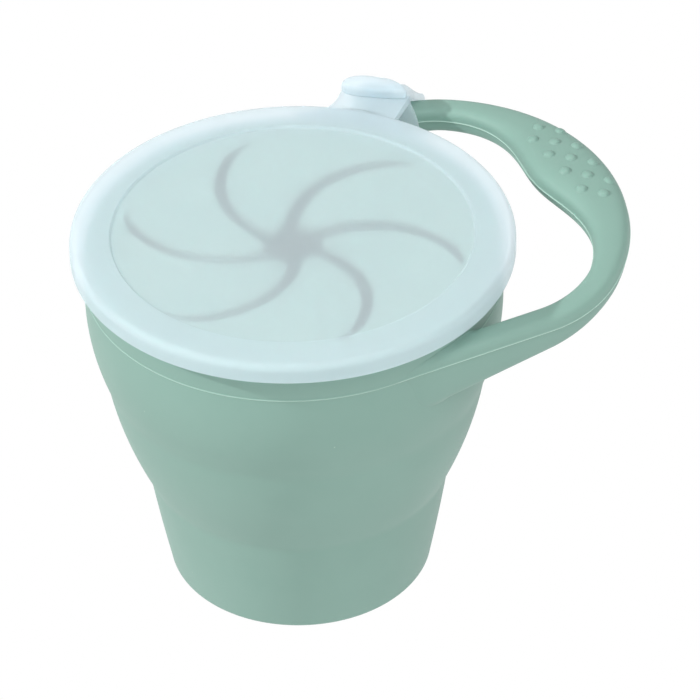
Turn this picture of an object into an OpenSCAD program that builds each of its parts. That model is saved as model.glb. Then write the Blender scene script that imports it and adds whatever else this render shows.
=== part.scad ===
// Toddler snack cup: a collapsible silicone cup with a moulded carry handle,
// a flap insert with six curved petals and a tethered translucent cover.
// Origin at the middle of the base, +Z up, handle along +X. Millimetres.

/* [Cup wall] */
// Outer radius of the rim
rim_r = 47; // [46:0.1:52]
// How much smaller the base's radius is than the rim's
base_taper = 16.7; // [15:0.1:21]
// How much smaller the radius at the lower crease is than the rim's
lower_taper = 12.1; // [10:0.1:14]
// How much smaller the radius at the upper crease is than the rim's
upper_taper = 3.6; // [2.5:0.1:6]
// Height of the lower crease
lower_crease_z = 27; // [24:0.1:30]
// Height of the upper crease
upper_crease_z = 54.5; // [51:0.1:57]
// Height of the parting line, where the handle is widest
parting_z = 79.3; // [76:0.1:84]
// Height of the rim above the parting line
rim_rise = 7.3; // [6.5:0.1:10]
// How far the lowest band swells outwards
base_bulge = 0.16; // [0:0.01:0.5]
// How far the middle band swells outwards
middle_bulge = 1.11; // [0.5:0.01:1.5]
// How far the top band swells outwards
top_bulge = 1.43; // [0.8:0.01:1.8]
// Wall of the stiff bands
wall = 2; // [1.6:0.1:2.4]
// Wall of the two fold zones
fold_wall = 1.4; // [1:0.1:1.6]
// Height of each fold zone
fold_h = 12; // [10:0.5:14]
// Thickness of the floor
floor_t = 2.4; // [1.6:0.1:4]
// Radius of the base's outer corner
base_corner = 1.5; // [0.8:0.1:2.2]

/* [Handle] */
// How far inside the rim's outer radius the arms start to curve
bow_start = 7; // [4:0.5:10]
// How far the handle's outer end lies beyond the rim's outer radius
bow_reach = 32.1; // [29:0.1:37]
// Outer radius of the curve between an arm and the grip
shoulder_bend = 33; // [31:0.5:35]
// How far the arms lie inside the rim's outer radius
arm_inset = 0.1; // [0.1:0.1:0.8]
// Thickness of the arms
arm_w = 6.4; // [5:0.1:7]
// Height of the arms above the parting line
arm_top = 2.8; // [2.4:0.1:3.6]
// Depth of the arms below the parting line
arm_foot = 3.7; // [3:0.1:4.4]
// Width of the grip at its middle
grip_w = 16.5; // [13:0.5:18]
// Height of the grip's middle above the parting line
grip_top = 4.4; // [3.6:0.1:5]
// Turn of the bow to each side over which the grip narrows to the arm
grip_angle = 63.5; // [58:0.5:70]
// Slope of the arms' lower edge where it widens towards the cup
root_slope = 0.17; // [0.1:0.01:0.2]
// Distance beyond the rim's outer radius at which that slope starts
root_reach = 9; // [1:0.5:13]
// Slope at which the bow rises outwards
rise_slope = 0.115; // [0:0.005:0.14]
// Distance beyond the rim's outer radius at which the rise starts
rise_reach = 0.5; // [-3:0.5:13]
// Base radius of one grip nub
nub_r = 1.18; // [0.9:0.02:1.5]
// Height of one grip nub
nub_h = 0.7; // [0.4:0.05:1]
// Distance from the handle's outer end to the middle row of nubs
nub_inset = 7.4; // [6.1:0.1:8.6]
// Spacing of the nubs across the grip
nub_pitch = 7.5; // [6:0.1:8]
// Spacing of the rows of nubs
nub_row = 3.7; // [3.4:0.1:4]

/* [Flap insert] */
// Thickness of the petals
flap_t = 1.6; // [1.2:0.1:2]
// Thickness of the insert's flange, which lies on the rim
flange_t = 1.8; // [1.6:0.1:2.6]
// How far the flange stays inside the rim's outer radius
flange_inset = 0.4; // [0.2:0.1:1]
// Wall of the insert's collar
collar_t = 1.9; // [1.2:0.1:2.4]
// Depth of the collar below the rim
collar_h = 6; // [3:0.5:9]
// Clearance between the collar and the cup wall
collar_gap = 0.1; // [0.05:0.05:0.3]
// Outer end of the slits
slit_r = 39.5; // [36:0.1:40.5]
// How far each slit bows sideways
slit_bow = 10.6; // [7:0.1:11]
// Direction of the first slit's outer end
slit_phase = 18.7; // [0:0.1:59]
// Width of a slit at its outer end
slit_end_w = 1.2; // [0.8:0.1:1.8]
// Width of a slit near the middle
slit_hub_w = 3.2; // [2:0.1:4]
// Radius of the hole in the middle
hub_r = 4; // [3:0.1:6]
// Clearance along each petal's hinge line
hinge_gap = 0.12; // [0.1:0.02:0.3]

/* [Cover] */
// Thickness of the cover's skirt
skirt_t = 2; // [1.6:0.1:3]
// Space between the rim and the skirt
skirt_gap = 1; // [0.9:0.1:1.6]
// Space between the rim and the lip at the skirt's foot
lip_gap = 0.4; // [0.35:0.05:0.6]
// How far the skirt reaches below the rim's top
skirt_drop = 0.4; // [0:0.1:1.2]
// Thickness of the cover's disc
disc_t = 1.6; // [1:0.1:2]
// Radius of the recessed disc
disc_r = 40.8; // [36:0.1:43]
// Depth of the recess
disc_drop = 0.7; // [0.5:0.1:1.4]
// Space between the insert and the cover
cover_gap = 0.3; // [0.2:0.05:0.6]
// Radius of the cover's outer shoulder
shoulder_r = 1.7; // [1:0.1:2]

/* [Tether] */
// Direction of the tongue from the cup's axis
tongue_angle = 44.7; // [43:0.1:47]
// Width of the tongue
tongue_w = 15; // [11:0.5:16]
// Thickness of the tongue
tongue_t = 1.9; // [1.4:0.1:2.2]
// Fillet between the tongue and the cover, on the side away from the grip
back_fillet = 6; // [4:0.5:7]
// Fillet between the tongue and the cover, on the side towards the grip
grip_fillet = 2.5; // [1:0.5:4]
// Direction from the shoulder's centre to the strap's edge nearest the grip
strap_edge = 61; // [58:1:68]
// Wall of the strap round the arm
strap_t = 1.2; // [0.9:0.1:1.4]
// Clearance between the strap and the sides of the arm
strap_gap = 0.45; // [0.4:0.05:0.6]
// Space under the arm in the strap
strap_sag = 1.1; // [1.1:0.1:1.6]
// Length of the button's head
button_l = 16; // [12:0.5:18]
// Width of the button's head
button_w = 6; // [5:0.1:7]
// Thickness of the button's head
button_t = 2; // [1.6:0.1:3]
// Turn of the button's head on its neck
button_turn = 6; // [0:1:12]
// Radius of the arched rear edge of the button's head
button_arch = 11; // [10:0.5:16]
// Height of the button's neck
neck_h = 0.6; // [0.6:0.1:1.6]

/* [Hidden] */

$fn = 96;
flap_count = 6;
slit_step = 360 / flap_count;

sage = "#8FB6A5";
light_sage = "#A9CDBB";
milky = "#DCEBEA";

// Radii of the cup's outline below the rim
base_r = rim_r - base_taper;
lower_crease_r = rim_r - lower_taper;
upper_crease_r = rim_r - upper_taper;

// Heights of the fold zones, each centred on its crease
lower_fold_z = lower_crease_z - fold_h / 2;
middle_z = lower_crease_z + fold_h / 2;
upper_fold_z = upper_crease_z - fold_h / 2;
top_z = upper_crease_z + fold_h / 2;
rim_z = parting_z + rim_rise;

// Insert
flange_r = rim_r - flange_inset;
flange_z = rim_z + flange_t;
bore_r = rim_r - wall;
collar_r = bore_r - collar_gap;
edge_r = 0.5;
hinge_d = slit_r * cos(slit_step / 2);

// Cover
cover_z = flange_z + cover_gap;
disc_z = cover_z + disc_t;
cover_top = disc_z + disc_drop;
cover_r = rim_r + skirt_gap + skirt_t;
skirt_z = rim_z - skirt_drop;
lip_h = 0.8;

// Handle: the arms are straight, then bend round a shoulder into the grip
bow_x = rim_r - bow_start;
bow_end = rim_r + bow_reach;
root_x = rim_r + root_reach;
rise_x = rim_r + rise_reach;
nub_x = bow_end - nub_inset;
arm_y = rim_r - arm_inset;
shoulder_y = arm_y - shoulder_bend;
bow_l = bow_end - bow_x;
grip_bend = (bow_l * bow_l + shoulder_y * shoulder_y - shoulder_bend * shoulder_bend)
    / (2 * (bow_l - shoulder_bend));
grip_x = bow_end - grip_bend;
shoulder_turn = atan2(shoulder_y, bow_x - grip_x);
section_power = 3;
section_points = 20;
bow_step = 5;
arm_steps = 6;
nub_sphere = (nub_r * nub_r + nub_h * nub_h) / (2 * nub_h);

// Tether
tongue_z = skirt_z + 0.1;
strap_in = shoulder_bend - arm_w - strap_gap - strap_t;
strap_out = shoulder_bend + strap_gap + strap_t;
strap_foot = parting_z - arm_foot - root_slope * (root_x - bow_x) - strap_sag - strap_t;
strap_top = tongue_z + tongue_t;
neck_w = 2.4;
neck_l = 6;
strap_mid = (strap_in + strap_out) / 2;
button_r = bow_x * cos(tongue_angle) + shoulder_y * sin(tongue_angle)
    + sqrt(pow(strap_mid, 2) - pow(bow_x * sin(tongue_angle) - shoulder_y * cos(tongue_angle), 2));

// ---- Outline of the cup wall ----

// Swelling line from [ra, za] to [rb, zb]
function band_r(z, ra, za, rb, zb, bulge) =
    let (t = (z - za) / (zb - za))
    ra + (rb - ra) * t + 4 * bulge * t * (1 - t);

// Larger of two radii, with the crease between them rounded over crease_soft
crease_soft = 0.8;
function soft_max(a, b) =
    let (h = max(crease_soft - abs(a - b), 0) / crease_soft)
    max(a, b) + h * h * crease_soft / 4;

function base_band(z) = band_r(z, base_r, 0, lower_crease_r, lower_crease_z, base_bulge);
function middle_band_r(z) =
    band_r(z, lower_crease_r, lower_crease_z, upper_crease_r, upper_crease_z, middle_bulge);
function top_band(z) =
    band_r(z, upper_crease_r, upper_crease_z, rim_r, parting_z, top_bulge);

function outer_r(z) =
    z >= parting_z ? rim_r
    : z >= (upper_fold_z + middle_z) / 2 ? soft_max(middle_band_r(z), top_band(z))
    : soft_max(base_band(z), middle_band_r(z));

function levels(low, high, count) = [for (i = [0 : count]) low + (high - low) * i / count];

// Wall between two heights, as a closed outline in [r, z]
function wall_outline(zs, t) = concat(
    [for (z = zs) [outer_r(z), z]],
    [for (i = [len(zs) - 1 : -1 : 0]) [outer_r(zs[i]) - t, zs[i]]]
);

module wall_ring(low, high, count, t) {
    rotate_extrude()
        polygon(wall_outline(levels(low, high, count), t));
}

// ---- Cup ----

module base_cup() {
    corner_z = base_corner;
    corner_r = outer_r(corner_z);
    zs = levels(corner_z, lower_fold_z, 5);
    inner_zs = levels(floor_t + base_corner, lower_fold_z, 5);
    color(sage)
        rotate_extrude()
            polygon(concat(
                [[0, 0]],
                [for (a = [-90 : 15 : 0])
                    [corner_r - base_corner + base_corner * cos(a), corner_z + base_corner * sin(a)]],
                [for (i = [1 : len(zs) - 1]) [outer_r(zs[i]), zs[i]]],
                [for (i = [len(inner_zs) - 1 : -1 : 0]) [outer_r(inner_zs[i]) - wall, inner_zs[i]]],
                [for (a = [-15 : -15 : -90])
                    [outer_r(inner_zs[0]) - wall - base_corner + base_corner * cos(a),
                     inner_zs[0] + base_corner * sin(a)]],
                [[0, floor_t]]
            ));
}

module lower_fold() {
    color(sage)
        wall_ring(lower_fold_z, middle_z, 6, fold_wall);
}

module middle_band() {
    color(sage)
        wall_ring(middle_z, upper_fold_z, 5, wall);
}

module upper_fold() {
    color(sage)
        wall_ring(upper_fold_z, top_z, 6, fold_wall);
}

// Top band, which ends in a straight rim with a rounded outer edge
module rim_band() {
    zs = levels(top_z, parting_z, 7);
    color(sage)
        rotate_extrude()
            polygon(concat(
                [for (z = zs) [outer_r(z), z]],
                [[rim_r, rim_z - edge_r], [rim_r - edge_r, rim_z], [bore_r, rim_z], [bore_r, parting_z]],
                [for (i = [len(zs) - 2 : -1 : 0]) [outer_r(zs[i]) - wall, zs[i]]]
            ));
}

// Solid inside of the top band's outer face, to cut the handle to it
module rim_core() {
    zs = levels(top_z, parting_z, 7);
    rotate_extrude()
        polygon(concat(
            [[0, top_z]],
            [for (z = zs) [outer_r(z), z]],
            [[rim_r, rim_z], [0, rim_z]]
        ));
}

// ---- Handle ----

// Share of the grip's extra width where the bow faces direction a
function grip_share(a) =
    abs(a) >= grip_angle ? 0 : pow(0.5 + 0.5 * cos(180 * a / grip_angle), 2);
function handle_w(a) = arm_w + (grip_w - arm_w) * grip_share(a);
function handle_top(a) = arm_top + (grip_top - arm_top) * grip_share(a);
function handle_foot(x) = arm_foot + soft_max(0, root_slope * (root_x - x));
function handle_z(x) = parting_z + soft_max(0, rise_slope * (x - rise_x));

// A station is [x, y, direction outwards] on the middle line
function arm_station(x, side) = [x, side * (arm_y - arm_w / 2), side * 90];
function bow_station(a) =
    let (on_grip = abs(a) < shoulder_turn,
         r = (on_grip ? grip_bend : shoulder_bend) - handle_w(a) / 2)
    [(on_grip ? grip_x : bow_x) + r * cos(a),
     (on_grip ? 0 : sign(a) * shoulder_y) + r * sin(a), a];
stations = concat(
    [for (i = [0 : arm_steps - 1]) arm_station(bow_x * i / arm_steps, 1)],
    [for (a = [90 : -bow_step : -90]) bow_station(a)],
    [for (i = [arm_steps - 1 : -1 : 0]) arm_station(bow_x * i / arm_steps, -1)]
);

function signed_power(v) = sign(v) * pow(abs(v), 2 / section_power);

// Rounded section of the handle at a station
function section_point(s, t) =
    let (across = handle_w(s[2]) / 2 * signed_power(cos(t)),
         up = (sin(t) > 0 ? handle_top(s[2]) : handle_foot(s[0])) * signed_power(sin(t)))
    [s[0] + across * cos(s[2]), s[1] + across * sin(s[2]), handle_z(s[0]) + up];

module handle_sweep() {
    n = section_points;
    m = len(stations);
    points = [for (s = stations) for (i = [0 : n - 1]) section_point(s, 360 * i / n)];
    sides = [for (k = [0 : m - 2]) for (i = [0 : n - 1])
        let (j = (i + 1) % n, a = k * n + i, b = k * n + j)
        each [[a, a + n, b], [b, a + n, b + n]]];
    ends = [
        [for (i = [0 : n - 1]) i],
        [for (i = [n - 1 : -1 : 0]) (m - 1) * n + i]
    ];
    polyhedron(points, concat(sides, ends), convexity = 6);
}

// Height of the grip's upper surface at [x, y]
function grip_surface(x, y) =
    let (a = atan2(y, x - grip_x),
         half = handle_w(a) / 2,
         across = abs(norm([x - grip_x, y]) - grip_bend + half) / half,
         middle_x = grip_x + (grip_bend - half) * cos(a))
    handle_z(middle_x) + handle_top(a) * pow(1 - pow(min(across, 1), section_power), 1 / section_power);

module nub(x, y) {
    translate([x, y, grip_surface(x, y) + nub_h - nub_sphere])
        sphere(nub_sphere, $fn = 24);
}

// Rows of four, five and four nubs, each row shifted by half a pitch
module nubs() {
    for (row = [-1 : 1])
        for (i = [0 : (row == 0 ? 4 : 3)])
            nub(nub_x + row * nub_row, nub_pitch * (i - (row == 0 ? 2 : 1.5)));
}

module handle() {
    color(light_sage) {
        difference() {
            handle_sweep();
            rim_core();
        }
        nubs();
    }
}

// ---- Flap insert ----

// Slit k runs on a circle through the middle and the slit's outer end
slit_circle_r = (slit_r * slit_r / 4 + slit_bow * slit_bow) / (2 * slit_bow);
slit_circle_y = slit_bow - slit_circle_r;
slit_shift = (slit_hub_w - slit_end_w) * slit_circle_r / slit_r;
slit_widen = (slit_hub_w + slit_end_w) / 4;

// Disc on one side of a slit: inside its inner edge or inside its outer edge
module slit_disc(k, side) {
    rotate(slit_phase + slit_step * k)
        translate([slit_r / 2 - side * slit_shift / 2, slit_circle_y])
            circle(slit_circle_r + side * slit_widen);
}

module flap(k) {
    middle = slit_phase + slit_step * (k + 0.5);
    color(sage)
        translate([0, 0, flange_z - flap_t])
            linear_extrude(flap_t)
                difference() {
                    intersection() {
                        slit_disc(k + 1, -1);
                        rotate(middle)
                            translate([0, -rim_r])
                                square([hinge_d - hinge_gap, 2 * rim_r]);
                    }
                    slit_disc(k, 1);
                    circle(hub_r);
                }
}

module flap_1() {
    flap(0);
}
module flap_2() {
    flap(1);
}
module flap_3() {
    flap(2);
}
module flap_4() {
    flap(3);
}
module flap_5() {
    flap(4);
}
module flap_6() {
    flap(5);
}

// Flange on the rim, collar inside it and a web that ends at the hinge lines
module flap_ring() {
    color(sage)
        difference() {
            rotate_extrude()
                polygon([
                    [hinge_d - 2, flange_z - flap_t],
                    [collar_r - collar_t, flange_z - flap_t],
                    [collar_r - collar_t, rim_z - collar_h],
                    [collar_r - edge_r, rim_z - collar_h],
                    [collar_r, rim_z - collar_h + edge_r],
                    [collar_r, rim_z],
                    [flange_r, rim_z],
                    [flange_r, flange_z - edge_r],
                    [flange_r - edge_r, flange_z],
                    [hinge_d - 2, flange_z]
                ]);
            translate([0, 0, flange_z - 2 * flap_t])
                rotate(slit_phase)
                    cylinder(h = 3 * flap_t, r = slit_r, $fn = flap_count);
        }
}

// ---- Cover ----

module cover() {
    inner_r = rim_r + skirt_gap;
    lip_r = rim_r + lip_gap;
    round_r = cover_r - shoulder_r;
    color(milky)
        rotate_extrude()
            polygon(concat(
                [[0, cover_z], [inner_r - 0.8, cover_z], [inner_r, cover_z - 0.8]],
                [[inner_r, skirt_z + lip_h + 0.4], [lip_r, skirt_z + lip_h], [lip_r, skirt_z]],
                [[cover_r - 0.6, skirt_z], [cover_r, skirt_z + 0.6]],
                [for (a = [0 : 15 : 90])
                    [round_r + shoulder_r * cos(a), cover_top - shoulder_r + shoulder_r * sin(a)]],
                [[disc_r + 0.6, cover_top], [disc_r, cover_top - 0.4], [disc_r, disc_z], [0, disc_z]]
            ));
}

// ---- Tether ----

// Corner between the cover's edge and the tongue's side, with its fillet
module tongue_corner(fillet) {
    across = tongue_w / 2 + fillet;
    along = sqrt(pow(cover_r + fillet, 2) - across * across);
    difference() {
        polygon([[0, 0], [along, 0], [along, across]]);
        translate([along, across])
            circle(fillet);
    }
}

// Region inside radius r round the shoulder, carried on along the straight arm
module arm_outline(r) {
    translate([bow_x, shoulder_y])
        circle(r);
    translate([0, shoulder_y - r])
        square([bow_x, 2 * r]);
}

// Region that the strap takes up, seen from above
module strap_wedge() {
    far = 2 * strap_out;
    difference() {
        translate([bow_x, shoulder_y])
            polygon([[0, 0], [0, far], [far / tan(strap_edge), far]]);
        arm_outline(strap_in);
    }
}

// Plan of the tongue: a strip with a fillet each side, from the cover to the strap
module tongue_plan() {
    difference() {
        intersection() {
            rotate(tongue_angle) {
                translate([0, -tongue_w / 2])
                    square([cover_r + arm_y, tongue_w]);
                tongue_corner(back_fillet);
                mirror([0, 1])
                    tongue_corner(grip_fillet);
            }
            arm_outline(strap_out);
        }
        circle(cover_r);
        strap_wedge();
    }
}

module tongue() {
    color(milky)
        translate([0, 0, tongue_z])
            linear_extrude(tongue_t)
                tongue_plan();
}

module rounded_box(x1, x2, y1, y2, r) {
    translate([x1 + r, y1])
        square([x2 - x1 - 2 * r, y2 - y1]);
    translate([x1, y1 + r])
        square([x2 - x1, y2 - y1 - 2 * r]);
    for (x = [x1 + r, x2 - r])
        for (y = [y1 + r, y2 - r])
            translate([x, y])
                circle(r, $fn = 32);
}

module strap_section() {
    difference() {
        rounded_box(strap_in, strap_out, strap_foot, strap_top, strap_t);
        rounded_box(strap_in + strap_t, strap_out - strap_t, strap_foot + strap_t, tongue_z, strap_t);
    }
}

// Band round the arm, from the start of its bend
module strap() {
    color(milky)
        translate([bow_x, shoulder_y, 0])
            rotate([0, 0, strap_edge])
                rotate_extrude(angle = 90 - strap_edge)
                    strap_section();
}

// Oval, longer across the tongue than along it
module oval(length, width) {
    half = (length - width) / 2;
    square([width, 2 * half], center = true);
    for (s = [-1, 1])
        translate([0, s * half])
            circle(width / 2);
}

// Oval button that holds the strap closed
module strap_button() {
    color(milky)
        rotate(tongue_angle)
            translate([button_r, 0, strap_top]) {
                linear_extrude(neck_h)
                    oval(neck_l, neck_w);
                translate([0, 0, neck_h])
                    rotate(button_turn)
                        linear_extrude(button_t)
                            intersection() {
                                oval(button_l, button_w);
                                translate([button_w / 2 - button_arch, 0])
                                    circle(button_arch);
                            }
            }
}

base_cup();
lower_fold();
middle_band();
upper_fold();
rim_band();
handle();
flap_ring();
flap_1();
flap_2();
flap_3();
flap_4();
flap_5();
flap_6();
cover();
tongue();
strap();
strap_button();
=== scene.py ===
import math

import bmesh
import bpy
import numpy as np
from mathutils import Matrix, Vector


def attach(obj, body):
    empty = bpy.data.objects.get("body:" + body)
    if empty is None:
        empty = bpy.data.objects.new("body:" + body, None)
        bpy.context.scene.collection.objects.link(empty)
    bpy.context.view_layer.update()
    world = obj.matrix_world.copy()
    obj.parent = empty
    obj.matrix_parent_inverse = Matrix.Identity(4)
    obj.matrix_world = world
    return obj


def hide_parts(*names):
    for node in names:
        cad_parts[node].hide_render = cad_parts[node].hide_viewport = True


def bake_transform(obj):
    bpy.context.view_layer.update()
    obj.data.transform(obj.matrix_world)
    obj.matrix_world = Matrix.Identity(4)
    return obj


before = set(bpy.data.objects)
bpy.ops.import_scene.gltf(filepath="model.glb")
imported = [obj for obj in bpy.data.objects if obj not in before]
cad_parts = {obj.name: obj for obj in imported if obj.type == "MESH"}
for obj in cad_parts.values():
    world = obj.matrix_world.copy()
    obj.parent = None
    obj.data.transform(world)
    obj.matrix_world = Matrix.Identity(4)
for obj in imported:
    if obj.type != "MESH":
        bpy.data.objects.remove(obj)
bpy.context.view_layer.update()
print("frame loaded:", len(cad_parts), "CAD nodes")

mm = 0.001
weld = 1e-6  # m; points closer than this become one


def colourOf(hexCode):  # sRGB hex to linear RGBA
    parts = [int(hexCode[i:i + 2], 16) / 255 for i in (1, 3, 5)]
    return [c / 12.92 if c <= 0.04045 else ((c + 0.055) / 1.055) ** 2.4 for c in parts] + [1.0]


def addNode(tree, kind, inputs=None, **settings):
    node = tree.nodes.new(kind)
    for name, value in settings.items():
        setattr(node, name, value)
    for name, value in (inputs or {}).items():
        if isinstance(value, bpy.types.NodeSocket):
            tree.links.new(value, node.inputs[name])
        else:
            node.inputs[name].default_value = value
    return node


def newMaterial(name):
    material = bpy.data.materials.new(name)
    material.use_nodes = True
    tree = material.node_tree
    tree.nodes.clear()
    output = addNode(tree, "ShaderNodeOutputMaterial")
    return material, tree, output


def patternScale(millimetres):  # noise scale for features of that size on Object coordinates
    return 1 / (millimetres * mm)


# A grid of points becomes quads between neighbours in rows and columns; either
# direction may close on itself.
def gridFaces(rows, columns, closeRows, closeColumns):
    i = np.arange(rows if closeRows else rows - 1)
    j = np.arange(columns if closeColumns else columns - 1)
    i, j = np.meshgrid(i, j, indexing="ij")
    nextI, nextJ = (i + 1) % rows, (j + 1) % columns
    quads = np.stack([i * columns + j, nextI * columns + j,
                      nextI * columns + nextJ, i * columns + nextJ], -1)
    return quads.reshape(-1, 4)


# Points in mm and quads become one piece. Rows that meet in one point are merged, and
# edges sharper than smoothAngle, in degrees, stay crisp.
def meshObject(name, points, quads, material, smoothAngle=40, recalculate=True, flashLine=None):
    mesh = bpy.data.meshes.new(name)
    points = np.asarray(points, float).reshape(-1, 3) * mm
    mesh.vertices.add(len(points))
    mesh.vertices.foreach_set("co", points.astype(np.float32).ravel())
    # Per point, how much of the painted highlight the parting line's ridge gets.
    if flashLine is not None:  # 1 on the mould's parting line, 0 elsewhere
        mesh.attributes.new("flashLine", "FLOAT", "POINT").data.foreach_set(
            "value", np.asarray(flashLine, np.float32).ravel())
    mesh.loops.add(4 * len(quads))
    mesh.loops.foreach_set("vertex_index", quads.astype(np.int32).ravel())
    mesh.polygons.add(len(quads))
    mesh.polygons.foreach_set("loop_start", np.arange(0, 4 * len(quads), 4, dtype=np.int32))
    mesh.update(calc_edges=True)
    shell = bmesh.new()
    shell.from_mesh(mesh)
    bmesh.ops.remove_doubles(shell, verts=shell.verts, dist=weld)
    if recalculate:
        bmesh.ops.recalc_face_normals(shell, faces=shell.faces)
    shell.to_mesh(mesh)
    shell.free()
    mesh.polygons.foreach_set("use_smooth", np.ones(len(mesh.polygons), bool))
    mesh.set_sharp_from_angle(angle=math.radians(smoothAngle))
    mesh.materials.append(material)
    piece = bpy.data.objects.new(name, mesh)
    bpy.context.scene.collection.objects.link(piece)
    return piece


def gridObject(name, grid, material, closeRows=False, closeColumns=False, **options):
    quads = gridFaces(grid.shape[0], grid.shape[1], closeRows, closeColumns)
    return meshObject(name, grid, quads, material, **options)


# A tube gets flat ends: one more row at each, with all its points in the row's middle.
def capped(grid):
    ends = grid[[0, -1]].mean(1, keepdims=True).repeat(grid.shape[1], 1)
    return np.concatenate([ends[:1], grid, ends[1:]])


# A profile in (radius, height) is turned about the cup's axis.
def revolve(profile, segments):
    turn = np.linspace(0, 2 * np.pi, segments, endpoint=False)
    r, z = profile[:, 0][None], profile[:, 1][None]
    return np.stack([r * np.cos(turn)[:, None], r * np.sin(turn)[:, None],
                     np.broadcast_to(z, (segments, len(profile)))], -1)


# Corners of a polygon, each (across, up, radius), are replaced by arcs of their radii,
# and straight runs get points every `step` so that the shading stays even.
def roundedProfile(corners, step=1.0, arcSteps=6, closed=True):
    count = len(corners)
    out = []
    for i in range(count):
        here = np.array(corners[i][:2], float)
        radius = corners[i][2] if len(corners[i]) > 2 else 0
        if radius == 0 or (not closed and i in (0, count - 1)):
            out.append([here])
            continue
        before = np.array(corners[i - 1][:2], float) - here
        after = np.array(corners[(i + 1) % count][:2], float) - here
        a, b = before / np.linalg.norm(before), after / np.linalg.norm(after)
        half = math.acos(np.clip(a @ b, -1, 1)) / 2
        reach = radius / math.tan(half)
        bisector = (a + b) / np.linalg.norm(a + b)
        centre = here + bisector * radius / math.sin(half)
        start, end = here + a * reach - centre, here + b * reach - centre
        sweep = math.acos(np.clip(start @ end / radius ** 2, -1, 1))
        side = np.array([-start[1], start[0]])
        side = side if side @ end > 0 else -side
        t = np.linspace(0, sweep, arcSteps + 1)[:, None]
        out.append(centre + start * np.cos(t) + side * np.sin(t))
    points = np.concatenate([np.atleast_2d(o) for o in out])
    if closed:
        points = np.vstack([points, points[:1]])
    dense = [points[:1]]
    for a, b in zip(points[:-1], points[1:]):
        n = max(1, int(np.linalg.norm(b - a) / step))
        dense.append(a + (b - a) * (np.arange(1, n + 1) / n)[:, None])
    dense = np.concatenate(dense)
    return dense[:-1] if closed else dense


# The larger of two numbers, with the corner between them rounded over `soft`.
def softMax(a, b, soft):
    h = np.maximum(soft - np.abs(a - b), 0) / soft
    return np.maximum(a, b) + h * h * soft / 4


def smoothStep(t):  # 0 to 1 with a level start and end
    t = np.clip(t, 0, 1)
    return t ** 2 * (3 - 2 * t)


# Liquid silicone rubber, moulded against a spark-eroded tool: matt and slightly
# waxy, with soft edges where light gets in, faint clouding and a few dust specks.
sageLook = {
    "name": "sageSiliconeMoulded",
    "colour": "#88A99E", "cloudColour": "#81A297",
    "dustColour": "#B4CBC0", "pitColour": "#6F9083",
    "flashHighlightColour": "#AFCDC1",  # painted highlight: the flash ridge is drawn paler for the light it catches
    "roughness": (0.46, 0.58), "ior": 1.41, "specular": 0.36, "sheen": 0.03,
    "cloudSize": 22.0,  # mm
    "grainSize": 0.35,  # mm; the tool's grain is finer and is drawn this coarse to show
    "grainDepth": 0.02, "dustSize": 2.6,
    "speckFrom": 0.93, "speckReach": 0.055,  # of a dust cell's random value, and of its size
    "subsurface": 0.12, "lightReach": 2.0, "lightTint": (0.6, 1.0, 0.8),
}
# The insert is mostly seen through the cover, and its sage is drawn paler than the cup's:
# largely painted light for the light the cover keeps off, so the disc's colour comes out right.
paintedLightInsertLook = dict(sageLook, name="sageSiliconeInsertPaintedLight", colour="#B2CDC1", cloudColour="#ABC6BB")


def siliconeMaterial(look):
    material, tree, output = newMaterial(look["name"])
    place = addNode(tree, "ShaderNodeTexCoord").outputs["Object"]
    clouds = addNode(tree, "ShaderNodeTexNoise", {
        "Vector": place, "Scale": patternScale(look["cloudSize"]), "Detail": 4.0, "Roughness": 0.6})
    grain = addNode(tree, "ShaderNodeTexNoise", {
        "Vector": place, "Scale": patternScale(look["grainSize"]), "Detail": 2.0, "Roughness": 0.7})
    dust = addNode(tree, "ShaderNodeTexVoronoi", {
        "Vector": place, "Scale": patternScale(look["dustSize"]), "Randomness": 1.0})
    cloudMix = addNode(tree, "ShaderNodeMix", {
        "Factor": clouds.outputs["Fac"], "A": colourOf(look["colour"]),
        "B": colourOf(look["cloudColour"])}, data_type="RGBA")
    # one cell in fourteen holds a speck: its random red is high and its middle is near
    cell = addNode(tree, "ShaderNodeSeparateColor", {"Color": dust.outputs["Color"]})
    rare = addNode(tree, "ShaderNodeMath", {
        0: cell.outputs["Red"], 1: look["speckFrom"]}, operation="GREATER_THAN")
    near = addNode(tree, "ShaderNodeMath", {
        0: dust.outputs["Distance"], 1: look["speckReach"]}, operation="LESS_THAN")
    speck = addNode(tree, "ShaderNodeMath", {
        0: rare.outputs[0], 1: near.outputs[0]}, operation="MULTIPLY")
    speckColour = addNode(tree, "ShaderNodeMix", {
        "Factor": cell.outputs["Green"], "A": colourOf(look["pitColour"]),
        "B": colourOf(look["dustColour"])}, data_type="RGBA")
    colour = addNode(tree, "ShaderNodeMix", {
        "Factor": speck.outputs[0], "A": cloudMix.outputs["Result"],
        "B": speckColour.outputs["Result"]}, data_type="RGBA")
    # Painted highlight: points on the parting line's ridge are drawn in the paler flash colour.
    flash = addNode(tree, "ShaderNodeAttribute", attribute_name="flashLine")
    colour = addNode(tree, "ShaderNodeMix", {
        "Factor": flash.outputs["Fac"], "A": colour.outputs["Result"],
        "B": colourOf(look["flashHighlightColour"])}, data_type="RGBA")
    roughness = addNode(tree, "ShaderNodeMapRange", {
        "Value": clouds.outputs["Fac"],
        "To Min": look["roughness"][0], "To Max": look["roughness"][1]})
    bump = addNode(tree, "ShaderNodeBump", {
        "Height": grain.outputs["Fac"], "Strength": 0.25, "Distance": look["grainDepth"] * mm})
    shader = addNode(tree, "ShaderNodeBsdfPrincipled", {
        "Base Color": colour.outputs["Result"], "Roughness": roughness.outputs["Result"],
        "Normal": bump.outputs["Normal"], "IOR": look["ior"],
        "Specular IOR Level": look["specular"], "Subsurface Weight": look["subsurface"],
        "Subsurface Radius": look["lightTint"], "Subsurface Scale": look["lightReach"] * mm,
        "Sheen Weight": look["sheen"], "Sheen Roughness": 0.5})
    tree.links.new(shader.outputs[0], output.inputs["Surface"])
    return material


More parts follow.
